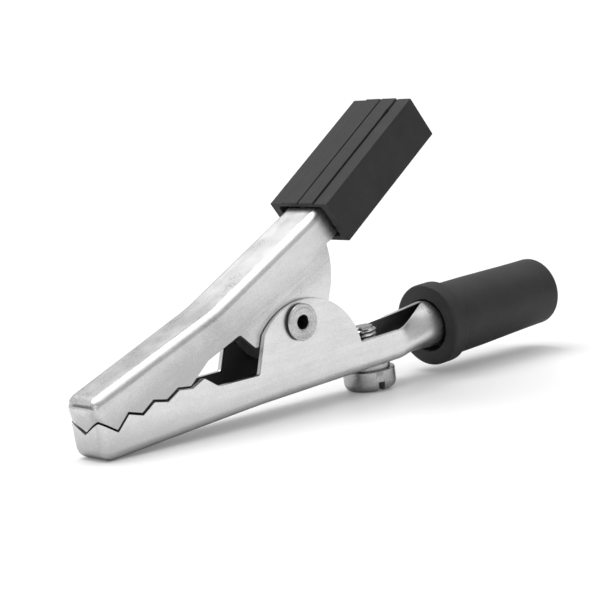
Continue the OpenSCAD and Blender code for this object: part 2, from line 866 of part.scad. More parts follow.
module terminal_screw() {
    turns = floor((screw_len - sheet) / screw_pitch);
    color(steel)
        at_rest()
            translate([screw_x, 0, 0])
                difference() {
                    rotate_extrude() {
                        polygon(concat(
                            [[0, head_low_z + 0.2], [screw_r, head_low_z + 0.2], [screw_r, 0]],
                            [
                                for (k = [0 : turns - 1])
                                    each [
                                        [screw_r, sheet + k * screw_pitch],
                                        [screw_r - thread_depth, sheet + (k + 0.5) * screw_pitch]
                                    ]
                            ],
                            [
                                [screw_r - thread_depth / 2, sheet + turns * screw_pitch],
                                [screw_r - thread_depth - 0.2, screw_len],
                                [0, screw_len]
                            ]
                        ));
                        translate([0, head_low_z])
                            square([screw_head_r - screw_head_round, screw_head_t]);
                        translate([0, head_low_z + screw_head_round])
                            square([screw_head_r, screw_head_t - screw_head_round]);
                        translate([screw_head_r - screw_head_round, head_low_z + screw_head_round])
                            intersection() {
                                circle(screw_head_round);
                                translate([0, -reach])
                                    square(2 * reach);
                            }
                    }
                    rotate([0, 0, 90 - slot_turn])
                        translate([-reach / 2, -slot_w / 2, head_low_z - 1])
                            cube([reach, slot_w, 1 + slot_depth]);
                }
}

module terminal_washer() {
    color(steel)
        at_rest()
            translate([screw_x, 0, head_top_z])
                difference() {
                    cylinder(r = washer_r, h = washer_t);
                    translate([0, 0, -1])
                        cylinder(r = screw_r + washer_play, h = washer_t + 2);
                }
}

lower_jaw();
upper_jaw();
pivot_rivet();
torsion_spring();
thumb_grip();
barrel_boot();
terminal_screw();
terminal_washer();
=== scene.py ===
import json
from math import atan, atan2, cos, pi, radians, sin, sqrt, tan

import bmesh
import bpy
from mathutils import Matrix, Vector


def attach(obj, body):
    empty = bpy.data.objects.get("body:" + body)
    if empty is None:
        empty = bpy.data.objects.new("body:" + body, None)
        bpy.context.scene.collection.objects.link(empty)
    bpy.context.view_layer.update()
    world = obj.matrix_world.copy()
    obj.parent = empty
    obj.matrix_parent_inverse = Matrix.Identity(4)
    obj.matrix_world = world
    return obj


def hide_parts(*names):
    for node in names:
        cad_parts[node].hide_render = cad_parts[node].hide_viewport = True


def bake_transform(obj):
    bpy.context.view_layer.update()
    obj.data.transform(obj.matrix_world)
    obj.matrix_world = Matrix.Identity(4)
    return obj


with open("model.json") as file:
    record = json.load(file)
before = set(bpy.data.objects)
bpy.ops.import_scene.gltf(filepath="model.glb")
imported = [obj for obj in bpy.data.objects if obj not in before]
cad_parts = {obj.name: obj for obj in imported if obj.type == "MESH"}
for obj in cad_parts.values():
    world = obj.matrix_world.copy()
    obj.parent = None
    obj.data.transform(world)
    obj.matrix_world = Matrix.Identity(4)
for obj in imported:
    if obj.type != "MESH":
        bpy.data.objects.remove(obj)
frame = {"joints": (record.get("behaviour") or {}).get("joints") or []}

scene = bpy.context.scene
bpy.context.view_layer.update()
joints = {joint["name"]: joint for joint in frame["joints"]}

# Every piece is built in the lower jaw's own frame: millimetres, x back from the tip of the
# jaws, z up from the underside of the floor. clipToRow then stands the clip on its feet.
clip = {
    "pivot": (28.5, 8.0),  # the rivet's centre
    "sheet": 0.6,  # thickness of both jaws
    "tipHalf": 2.7,  # half the width at the tip
    "earHalf": 3.7,  # and across the ears
    "upperHalf": 3.0,  # and of the upper jaw, behind its taper
    "screwX": 41.3,
    "bendSteps": 8,  # facets round a bend
    "holeSides": 48,
}
pivotX, pivotZ = clip["pivot"]
sheet = clip["sheet"]
outward = Vector(joints["screw_turn"]["axis"])
restTilt = atan2(outward.x, -outward.z)
pivotRow = Vector(joints["jaw_pivot"]["pos_m"])
clipToRow = (
    Matrix.Translation(pivotRow)
    @ Matrix.Rotation(-restTilt, 4, "Y")
    @ Matrix.Scale(0.001, 4)
    @ Matrix.Translation((-pivotX, 0, -pivotZ))
)


# small tools

def along(slope):
    return Vector((cos(radians(slope)), sin(radians(slope))))


def below(slope):
    return Vector((sin(radians(slope)), -cos(radians(slope))))


def arc(centre, r, start, end, count):
    turns = [radians(start + (end - start) * k / count) for k in range(count + 1)]
    return [(centre[0] + r * cos(a), centre[1] + r * sin(a)) for a in turns]


def circle(centre, r, sides):
    return arc(centre, r, 0, 360 - 360 / sides, sides - 1)


def rounded(points, steps=4, closed=True):
    # corners that carry a third number are rounded to that radius
    out, n = [], len(points)
    for i, p in enumerate(points):
        r = p[2] if len(p) > 2 else 0
        if not r or (not closed and i in (0, n - 1)):
            out.append((p[0], p[1]))
            continue
        here, before, after = (Vector(points[j % n][:2]) for j in (i, i - 1, i + 1))
        u, v = (before - here), (after - here)
        room = 0.45 * min(u.length, v.length)
        u.normalize()
        v.normalize()
        half = u.angle(v) / 2
        run = min(r / tan(half), room)
        r = run * tan(half)
        centre = here + (u + v).normalized() * (r / sin(half))
        a, b = here + u * run - centre, here + v * run - centre
        first = atan2(a.y, a.x)
        turn = (atan2(b.y, b.x) - first + pi) % (2 * pi) - pi
        for k in range(steps + 1):
            t = first + turn * k / steps
            out.append((centre.x + r * cos(t), centre.y + r * sin(t)))
    return out


def newPiece(name, verts, faces, finish=()):
    mesh = bpy.data.meshes.new(name)
    mesh.from_pydata([tuple(v) for v in verts], [], faces)
    piece = bpy.data.objects.new(name, mesh)
    scene.collection.objects.link(piece)
    for material in finish:
        mesh.materials.append(material)
    bm = bmesh.new()
    bm.from_mesh(mesh)
    bmesh.ops.recalc_face_normals(bm, faces=bm.faces)
    bm.to_mesh(mesh)
    bm.free()
    return piece


def settle(piece):  # applies the modifiers
    current = bpy.context.evaluated_depsgraph_get()
    made = bpy.data.meshes.new_from_object(piece.evaluated_get(current))
    old, made.name = piece.data, piece.data.name
    piece.modifiers.clear()
    piece.data = made
    bpy.data.meshes.remove(old)


def combine(piece, tool, how="DIFFERENCE"):
    step = piece.modifiers.new("combine", "BOOLEAN")
    step.operation, step.solver, step.object = how, "EXACT", tool
    settle(piece)
    bpy.data.objects.remove(tool)


def soften(piece, width, limit=32):  # a small round on every edge sharper than the limit
    step = piece.modifiers.new("edges", "BEVEL")
    step.width, step.segments, step.angle_limit = width, 2, radians(limit)
    step.limit_method, step.use_clamp_overlap = "ANGLE", True
    settle(piece)


def tidyMesh(piece, near=0.004):
    bm = bmesh.new()
    bm.from_mesh(piece.data)
    bmesh.ops.remove_doubles(bm, verts=bm.verts, dist=near)
    bmesh.ops.dissolve_degenerate(bm, edges=bm.edges, dist=near)
    bm.to_mesh(piece.data)
    bm.free()


def place(piece, body, node, slot, sharp=34, weighted=True):
    piece.data.transform(clipToRow)
    piece.data.shade_smooth()
    piece.data.set_sharp_from_angle(angle=radians(sharp))
    if weighted:
        normals = piece.modifiers.new("normals", "WEIGHTED_NORMAL")
        normals.keep_sharp = True
    if body:
        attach(piece, body)
    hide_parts(node)
    print("made", piece.name, len(piece.data.polygons), "faces")


def prism(name, outline, low, high, axis, finish=()):
    # an outline drawn across one axis and run along it; its two numbers are the other axes
    # in order
    def at(u, v, w):
        return {"X": (w, u, v), "Y": (u, w, v), "Z": (u, v, w)}[axis]

    n = len(outline)
    verts = [at(u, v, w) for w in (low, high) for u, v in outline]
    faces = [tuple(range(n)), tuple(range(2 * n - 1, n - 1, -1))]
    faces += [(k, (k + 1) % n, n + (k + 1) % n, n + k) for k in range(n)]
    return newPiece(name, verts, faces, finish)


def drill(piece, centre, r, reach, axis, finish):
    combine(piece, prism("hole", circle(centre, r, clip["holeSides"]), -reach, reach, axis, finish))


def lathe(name, profile, turns, where, finish=()):
    # profile is (radius, height) points; where maps the spun shape's z axis onto the clip
    n = len(profile)
    verts, faces = [], []
    for i in range(turns):
        a = 2 * pi * i / turns
        verts += [where @ Vector((r * cos(a), r * sin(a), h)) for r, h in profile]
    for i in range(turns):
        j = (i + 1) % turns
        for k in range(n):
            m = (k + 1) % n
            faces.append((i * n + k, j * n + k, j * n + m, i * n + m))
    piece = newPiece(name, verts, faces, finish)
    tidyMesh(piece, 1e-5)
    return piece


def channelBlock(name, rings, longR, noseR, cornerR, finish, side):
    # a block of rings of four corners, the first two on the bent side, with its bends rounded;
    # side says which of its two materials it takes, the plate or the painted shade of the inside
    verts = [co for ring in rings for co in ring]
    last = 4 * (len(rings) - 1)
    faces = [(3, 2, 1, 0), (last, last + 1, last + 2, last + 3)]
    for i in range(len(rings) - 1):
        for k in range(4):
            a, b = 4 * i + k, 4 * i + (k + 1) % 4
            faces.append((a, b, b + 4, a + 4))
    piece = newPiece(name, verts, faces, finish)
    widths = {(0, 1): noseR, (0, 3): cornerR, (1, 2): cornerR}
    for i in range(len(rings) - 1):
        for k in (0, 1):
            widths[(4 * i + k, 4 * i + 4 + k)] = longR
    widest = max(longR, noseR, cornerR)
    bm = bmesh.new()
    bm.from_mesh(piece.data)
    weight = bm.edges.layers.float.new("bevel_weight_edge")
    for edge in bm.edges:
        pair = tuple(sorted(v.index for v in edge.verts))
        edge[weight] = widths.get(pair, 0) / widest
    for face in bm.faces:
        face.material_index = side
    bm.to_mesh(piece.data)
    bm.free()
    bend = piece.modifiers.new("bends", "BEVEL")
    bend.width, bend.segments, bend.limit_method = widest, clip["bendSteps"], "WEIGHT"
    bend.use_clamp_overlap = False
    settle(piece)
    return piece


# finishes

class Nodes:
    # a short way to write the nodes of a material or of the world
    def __init__(self, owner, shader="Principled BSDF", place="Object"):
        owner.use_nodes = True
        self.owner = owner
        self.tree = owner.node_tree
        self.shader = self.tree.nodes[shader]
        self.place = self.tree.nodes.new("ShaderNodeTexCoord").outputs[place]

    def add(self, kind, **sockets):
        node = self.tree.nodes.new("ShaderNode" + kind)
        for key, value in sockets.items():
            if isinstance(value, bpy.types.NodeSocket):
                self.tree.links.new(value, node.inputs[key.replace("_", " ")])
            elif key in node.inputs or key.replace("_", " ") in node.inputs:
                node.inputs[key.replace("_", " ")].default_value = value
            else:
                setattr(node, key, value)
        return node

    def noise(self, scale, detail=2.0, rough=0.5, vector=None):
        node = self.add("TexNoise", Vector=vector or self.place, Scale=scale,
                        Detail=detail, Roughness=rough)
        return node.outputs["Fac"]

    def spread(self, value, low, high, fromLow=0.3, fromHigh=0.7):
        node = self.add("MapRange", Value=value, From_Min=fromLow, From_Max=fromHigh,
                        To_Min=low, To_Max=high)
        return node.outputs["Result"]

    def maths(self, kind, a, b):
        node = self.tree.nodes.new("ShaderNodeMath")
        node.operation = kind
        for i, value in enumerate((a, b)):
            if isinstance(value, bpy.types.NodeSocket):
                self.tree.links.new(value, node.inputs[i])
            else:
                node.inputs[i].default_value = value
        return node.outputs[0]

    def measured(self, kind, other):  # a dot product with, or a distance from, a fixed vector
        node = self.tree.nodes.new("ShaderNodeVectorMath")
        node.operation = kind
        self.tree.links.new(self.place, node.inputs[0])
        node.inputs[1].default_value = other
        return node.outputs["Value"]

    def blendOf(self, *layers):  # the sum of some noises, each with its range and its share
        total = None
        for value, fromLow, fromHigh, share in layers:
            layer = self.maths("MULTIPLY", self.spread(value, 0, 1, fromLow, fromHigh), share)
            total = self.maths("ADD", total, layer) if total else layer
        return total

    def tint(self, value, dark, light):
        node = self.tree.nodes.new("ShaderNodeMix")
        node.data_type = "RGBA"
        self.tree.links.new(value, node.inputs["Factor"])
        node.inputs["A"].default_value = (*dark, 1)
        node.inputs["B"].default_value = (*light, 1)
        return node.outputs["Result"]

    def bump(self, height, strength, distance, after=None):
        node = self.add("Bump", Height=height, Strength=strength, Distance=distance)
        if after:
            self.tree.links.new(after, node.inputs["Normal"])
        return node.outputs["Normal"]

    def wire(self, **links):
        for key, value in links.items():
            self.tree.links.new(value, self.shader.inputs[key.replace("_", " ")])


plate = {
    "rough": (0.24, 0.40),
    "cloudScale": 330,
    "cloudShare": 0.34,
    "streakScale": 1500,
    "streakLong": 14,
    "streakShare": 0.3,
    "grainScale": 5600,
    "grainShare": 0.4,
}
dullRough = (0.5, 0.65)


def platedSteel(name, light, dark, rough, lie=0.0, grain=0.12, shadeBand=None, paintedLight=None):
    # light and dark are greys; lie is the slope of the rolling marks in degrees; the band is a
    # strip of painted shade along a bend (across, middle, half its width, depth); the last is a
    # patch of painted light (middle, near, far, gain)
    n = Nodes(bpy.data.materials.new(name))
    clouds = n.noise(plate["cloudScale"], 4, 0.6)
    lay = n.add("Mapping", Vector=n.place, Scale=(plate["streakLong"], 1, 1), vector_type="TEXTURE",
                Rotation=(0, -radians(lie), 0)).outputs["Vector"]
    rolled = n.noise(plate["streakScale"], 4, 0.65, lay)
    specks = n.noise(plate["grainScale"], 3, 0.7)
    shade = n.blendOf((clouds, 0.34, 0.66, plate["cloudShare"]), (rolled, 0.3, 0.7, plate["streakShare"]),
                      (specks, 0.36, 0.64, plate["grainShare"]))
    # painted shade: a streaky darker strip along a bend
    if shadeBand:
        aim, middle, half, depth = shadeBand
        across = n.measured("DOT_PRODUCT", aim)
        away = n.maths("ABSOLUTE", n.maths("SUBTRACT", across, middle), 0)
        paintedShade = n.maths("MULTIPLY", n.spread(away, depth, 0, 0, half), n.spread(rolled, 0.45, 1.3, 0.35, 0.65))
        shade = n.maths("SUBTRACT", shade, paintedShade)
    # painted light: a brighter patch round a point
    if paintedLight:
        middle, near, far, gain = paintedLight
        shade = n.maths("ADD", shade, n.spread(n.measured("DISTANCE", middle), gain, 0, near, far))
    wear = n.maths("ADD", n.maths("MULTIPLY", specks, 0.5), n.maths("MULTIPLY", clouds, 0.5))
    n.wire(
        Base_Color=n.tint(shade, [dark] * 3, [light] * 3),
        Roughness=n.spread(wear, *rough),
        Normal=n.bump(specks, grain, 0.00005, n.bump(clouds, 0.1, 0.0005, n.bump(rolled, 0.08, 0.0001))),
    )
    n.shader.inputs["Metallic"].default_value = 1
    return n.owner


def moulded(name, light, dark, rough, grainScale, grain):
    n = Nodes(bpy.data.materials.new(name))
    clouds = n.noise(300, 3, 0.6)
    skin = n.noise(grainScale, 2, 0.6)
    n.wire(
        Base_Color=n.tint(n.spread(clouds, 0, 1), dark, light),
        Roughness=n.spread(skin, *rough),
        Normal=n.bump(skin, grain, 0.00005),
    )
    n.shader.inputs["Specular IOR Level"].default_value = 0.3
    return n.owner


# the lower plate's band is painted shade, darker towards the floor
jawPlate = platedSteel("lower jaw nickel plate", 0.98, 0.7, plate["rough"], 3.5,
                       shadeBand=((0, 0, 1.0), 0.0, 0.0042, 1.1))
# the upper plate's band is painted shade along the cheek under the spine's bend, and its patch round the
# rivet is painted light
upperPlate = platedSteel("upper jaw nickel plate", 0.90, 0.56, plate["rough"], 25.5,
                         shadeBand=((-0.4305, 0, 0.9026), 0.0163, 0.0038, 0.9),  # square to the spine
                         paintedLight=(pivotRow + Vector((0.0005, -0.003, 0.005)), 0.0035, 0.012, 0.75))
# painted shade: the insides of both jaws, the upper jaw's seam and the screw's slot take these darker greys
# for the shade in those hollows
hollowPaintedShade = platedSteel("upper jaw inside, dull", 0.6, 0.42, dullRough)
trayPaintedShade = platedSteel("lower jaw inside, dull", 0.3, 0.2, dullRough)
fastenerPlate = platedSteel("rivet plate", 0.8, 0.36, (0.22, 0.36), grain=0.3)
# painted shade for the rivet's bore and the side under its head
rivetShade = platedSteel("rivet under its rim", 0.1, 0.05, dullRough)
screwPlate = platedSteel("screw plate", 0.68, 0.34, (0.16, 0.28))
springWire = platedSteel("spring wire", 0.46, 0.3, (0.28, 0.4))
gripPlastic = moulded("grip plastic", (0.03, 0.03, 0.031), (0.022, 0.022, 0.023), (0.5, 0.66), 9000, 0.25)
bootVinyl = moulded("boot vinyl", (0.036, 0.036, 0.037), (0.027, 0.027, 0.028), (0.44, 0.58), 6000, 0.15)
print("finishes ready")


# teeth, shared by both jaws

teeth = {
    "count": 4,
    "pitch": 3.4,
    "firstValley": (2.4, 2.42),
    "firstPoint": (4.032, 3.6),
    "valleyRise": 0.61,  # each valley stands this much above the one before it
    "pointRise": 0.46,
    "firstDrop": 0.36,  # the first valley is deeper
    "cornerHigh": 3.677,  # where the front and the sides meet
    "biteGap": 0.28,
    "frontValley": 2.1,
    "tipR": 0.13,
}


def toothLine(lift):
    t = teeth
    (valleyX, valleyZ), (pointX, pointZ) = t["firstValley"], t["firstPoint"]
    line = []
    for k in range(t["count"]):
        drop = t["firstDrop"] if k == 0 else 0
        line.append((valleyX + t["pitch"] * k, valleyZ + t["valleyRise"] * k - drop + lift, t["tipR"]))
        line.append((pointX + t["pitch"] * k, pointZ + t["pointRise"] * k + lift, t["tipR"]))
    return line


def frontNotch(deep, finish):  # the V in the lower jaw's front
    side, half = teeth["cornerHigh"], clip["tipHalf"]
    outline = rounded([
        (0, teeth["frontValley"], 0.12), (half, side), (half, 30), (-half, 30), (-half, side)])
    return prism("frontNotch", outline, -4, deep, "X", finish)


# lower jaw

lower = {
    "lean": 3.0,  # how far the front leans back, degrees
    "floorDrop": 0.95,  # how far the floor dips at the tip
    "bendR": 1.1,
    "chinR": 1.6,
    "cornerR": 0.95,
    "edgeR": 0.06,
    "earFrontX": 21.66,
    "earLean": 17.0,  # of its front edge
    "earCentre": (29.26, 2.15),
    "earR": 8.24,
    "earSides": 240,
    "shelfHigh": 3.5,
    "heel": (16.0, 3.68),  # behind the last tooth
    "wallHigh": 3.55,  # of the channel behind the ears
    "rivetHoleR": 1.52,
    "screwHoleR": 1.55,
    "closeX": 43.6,  # the channel starts to close
    "closedX": 51.2,
    "closeEase": 0.12,  # how softly it starts
    "closeSteps": 14,
    "rimStep": 0.45,  # between points round the rim
    "peak": 1.2,  # the mouth of the socket is taller than its tube
    "swell": 0.8,  # and wider, by this share of that
    "lipThin": 0.6,  # the sheet's top edge loses this share of its thickness
    "tube": ((52.2, 1.13), (53.3, 1.0), (57.0, 1.0), (62.0, 1.0)),  # x and peak
    "barrelEndX": 62.0,
    "barrelZ": 2.05,
    "socketR": 2.0,
    "seamHalf": 0.15,  # half the gap where the tube's edges meet
}


def lowerHalf(x):
    share = min(max(x / lower["earFrontX"], -0.2), 1)
    return clip["tipHalf"] + (clip["earHalf"] - clip["tipHalf"]) * share


def channelHalf():
    # half of the channel's outline, from the middle of its floor to the top of its wall,
    # by share of its length
    s, half = lower, clip["earHalf"]
    bend = arc((half - s["bendR"], s["bendR"]), s["bendR"], -90, 0, 12)
    path = [Vector(p) for p in [(0, 0)] + bend + [(half, s["wallHigh"])]]
    run = [0.0]
    for a, b in zip(path, path[1:]):
        run.append(run[-1] + (b - a).length)

    def at(share):
        want = min(max(share, 0), 1) * run[-1]
        k = next((i for i in range(1, len(run)) if run[i] >= want - 1e-9), len(run) - 1)
        return path[k - 1].lerp(path[k], (want - run[k - 1]) / (run[k] - run[k - 1]))

    return at


def handlePoints(u, peak):
    # where the handle closes, every point goes straight from the channel to the tube; u runs
    # 0 to 1, and peak makes the tube taller than round
    s, r = lower, lower["socketR"] + sheet
    ease = s["closeEase"]
    u = (u * u / (2 * ease) if u < ease else u - ease / 2) / (1 - ease / 2)
    flat = channelHalf()
    turn = pi - s["seamHalf"] / r

    def spot(share):
        a = share * turn - pi / 2
        tall = r * sin(a) * (peak if sin(a) > 0 else 1)
        wide = r * cos(a) * (1 + s["swell"] * (peak - 1))
        return flat(share).lerp(Vector((wide, s["barrelZ"] + tall)), u)

    def at(share):
        ahead = (spot(min(share + 0.01, 1)) - spot(max(share - 0.01, 0))).normalized()
        return spot(share), Vector((ahead.y, -ahead.x))

    return at


def openEdges(bm):
    return [e for e in bm.edges if e.is_boundary]


def closeHandle(bm):
    # draws the channel's open rear end on, through a taper, into the tube
    s = lower
    startX = s["closeX"]
    cap = [f for f in bm.faces if all(abs(v.co.x - startX) < 1e-3 for v in f.verts)]
    bmesh.ops.delete(bm, geom=cap, context="FACES_ONLY")
    for edge in openEdges(bm):
        count = int(edge.calc_length() / s["rimStep"])
        if count:
            bmesh.ops.subdivide_edges(bm, edges=[edge], cuts=count)
    ring = openEdges(bm)
    # where each point of the rim is: its share of the half outline, its depth in the sheet
    # and its side
    start = handlePoints(0, 1)
    spots = [(k / 600, *start(k / 600)) for k in range(601)]
    where = {}
    for v in {v for e in ring for v in e.verts}:
        here = Vector((abs(v.co.y), v.co.z))
        best = min(
            ((here - (p - n * deep)).length, share, deep) for share, p, n in spots for deep in (0, sheet))
        where[v] = (best[1], best[2], 1 if v.co.y >= 0 else -1)
    stations = [(k / s["closeSteps"], startX + (s["closedX"] - startX) * k / s["closeSteps"], s["peak"])
                for k in range(1, s["closeSteps"] + 1)]
    stations += [(1.0, x, peak) for x, peak in s["tube"]]
    for u, x, peak in stations:
        at = handlePoints(u, peak)
        made = bmesh.ops.extrude_edge_only(bm, edges=ring)["geom"]
        ringNext = [g for g in made if isinstance(g, bmesh.types.BMEdge) and g.is_boundary]
        moved = {}
        for e in ringNext:
            for v in e.verts:
                if v in moved:
                    continue
                mate = next(o.other_vert(v) for o in v.link_edges if o.other_vert(v) in where)
                share, deep, hand = where[mate]
                p, n = at(share)
                thin = s["lipThin"] * min(u / 0.2, 1) * min(max((share - 0.8) / 0.2, 0), 1)
                q = p - n * deep * (1 - thin)
                v.co = (x, hand * q.x, q.y)
                moved[v] = where[mate]
        # faces inside the sheet take the painted shade, the rest the plate
        for f in {f for e in ringNext for f in e.link_faces}:
            inside = sum(moved.get(v, where.get(v))[1] > 0 for v in f.verts) > 2
            f.material_index = 1 if inside else 0
        ring, where = ringNext, moved
    bmesh.ops.contextual_create(bm, geom=ring)


def makeLowerJaw():
    s, both = lower, (jawPlate, trayPaintedShade)
    lean, dip = tan(radians(s["lean"])), s["floorDrop"] / s["earFrontX"]
    cornerHigh = teeth["cornerHigh"]

    def ring(bent, free, inset):
        (bx, bz), (fx, fz) = bent, free
        hb, hf = lowerHalf(bx) - inset, lowerHalf(fx) - inset
        return [(bx, -hb, bz), (bx, hb, bz), (fx, hf, fz), (fx, -hf, fz)]

    chinX = (cornerHigh + s["floorDrop"]) * lean / (1 + dip * lean)
    outer = channelBlock("lowerJawSheet", [
        ring((chinX, chinX * dip - s["floorDrop"]), ((cornerHigh - 20) * lean, 20), 0),
        ring((s["earFrontX"], 0), (s["earFrontX"], 20), 0),
        ring((s["closeX"], 0), (s["closeX"], 20), 0),
    ], s["bendR"], s["chinR"], s["cornerR"], both, 0)
    wall = sheet / cos(atan(lean))
    floorZ = sheet / cos(atan(dip)) - s["floorDrop"]
    innerX = (cornerHigh * lean + wall - floorZ * lean) / (1 + dip * lean)
    inner = channelBlock("hollow", [
        ring((innerX, floorZ + innerX * dip), (wall + (cornerHigh - 22) * lean, 22), sheet),
        ring((s["earFrontX"] - sheet * dip / 2, sheet), (s["earFrontX"], 22), sheet),
        ring((s["closeX"] + 1, sheet), (s["closeX"] + 1, 22), sheet),
    ], s["bendR"] - sheet, s["chinR"] - sheet, s["cornerR"] - sheet, both, 1)
    combine(outer, inner)

    earX, earZ = s["earCentre"]
    slant = tan(radians(s["earLean"]))
    ear = [(x, z) for x, z in arc(s["earCentre"], s["earR"], 180, 0, s["earSides"])
           if x > s["earFrontX"] + (z - s["shelfHigh"]) * slant and z > s["wallHigh"]]
    handleX = earX + sqrt(s["earR"] ** 2 - (s["wallHigh"] - earZ) ** 2)
    side = rounded(
        [(-6, -6), (-6, cornerHigh), (0, cornerHigh, 0.08)] + toothLine(0)
        + [(*s["heel"], 0.6), (s["earFrontX"], s["shelfHigh"], 0.3)]
        + ear[4:]
        + [(handleX, s["wallHigh"], 0.25), (46, s["wallHigh"]), (46, -6)])
    combine(outer, prism("side", side, -9, 9, "Y", both), "INTERSECT")
    combine(outer, frontNotch(sheet + s["chinR"] / 2, both))
    tidyMesh(outer)
    bm = bmesh.new()
    bm.from_mesh(outer.data)
    closeHandle(bm)
    bmesh.ops.recalc_face_normals(bm, faces=bm.faces)
    bm.to_mesh(outer.data)
    bm.free()
    drill(outer, clip["pivot"], s["rivetHoleR"], 9, "Y", both)
    drill(outer, (clip["screwX"], 0), s["screwHoleR"], 3, "Z", both)
    tidyMesh(outer)
    soften(outer, s["edgeR"])
    for f in outer.data.polygons:  # the inner corner of the ear's cut edge takes painted shade, a painted shadow line against the cheek
        c = f.center
        inward = f.normal.y * (-1 if c.y > 0 else 1)
        innerHalf = abs(c.y) < clip["earHalf"] - sheet / 2
        if s["earFrontX"] < c.x < 34 and c.z > s["shelfHigh"] and inward > 0.2 and innerHalf:
            f.material_index = 1
    place(outer, "lower_jaw", "lower_jaw", "jaw_steel")


makeLowerJaw()
print("lower jaw done")


# upper jaw

upper = {
    "lean": 14.0,  # of the front tab, degrees
    "tipHigh": 5.95,
    "slopes": (18.4, 25.5, 32.35),  # of the spine, from the tip back
    "bends": (17.6, 33.4),
    "handleLong": 16.4,
    "handleHigh": 3.9,
    "bendR": 1.0,
    "noseR": 1.5,
    "cornerR": 1.25,
    "edgeR": 0.07,
    "spineR": 16.0,
    "cheekR": 4.6,  # round the rivet
    "cheekTurn": (203.7, 361),
    "cheekBack": (25.28, 13.6),  # centre of the curve behind the cheek
    "cheekBackR": 9.5,
    "cheekBackTurn": (-33.6, 12.2),
    "saddle": (34.54, 15.71),
    "notch": ((15.4, 6.65), (20.21, 8.4), (22.16, 6.45)),  # in front of the cheek
    "tabDeep": 1.1,
    "tabRise": 0.584,
    "seamZ": 5.15,  # the seam where the front tab meets the spine
    "seamWide": 0.32,
    "reliefR": 0.3,
    "rivetHoleR": 1.56,
}
slopeA, slopeB, slopeC = upper["slopes"]
spineA = Vector((upper["bends"][0], upper["tipHigh"] + upper["bends"][0] * tan(radians(slopeA))))
spineB = Vector((upper["bends"][1], spineA.y + (upper["bends"][1] - spineA.x) * tan(radians(slopeB))))
spineEnd = spineB + along(slopeC) * upper["handleLong"]


def upperHalf(x):
    share = min(max(x / spineA.x, -0.3), 1)
    return clip["tipHalf"] + (clip["upperHalf"] - clip["tipHalf"]) * share


def upperFrontX(z):
    return (teeth["cornerHigh"] - z) * tan(radians(upper["lean"]))


def spineInside(p, a, b):
    return p + below((a + b) / 2) * (sheet / cos(radians((b - a) / 2)))


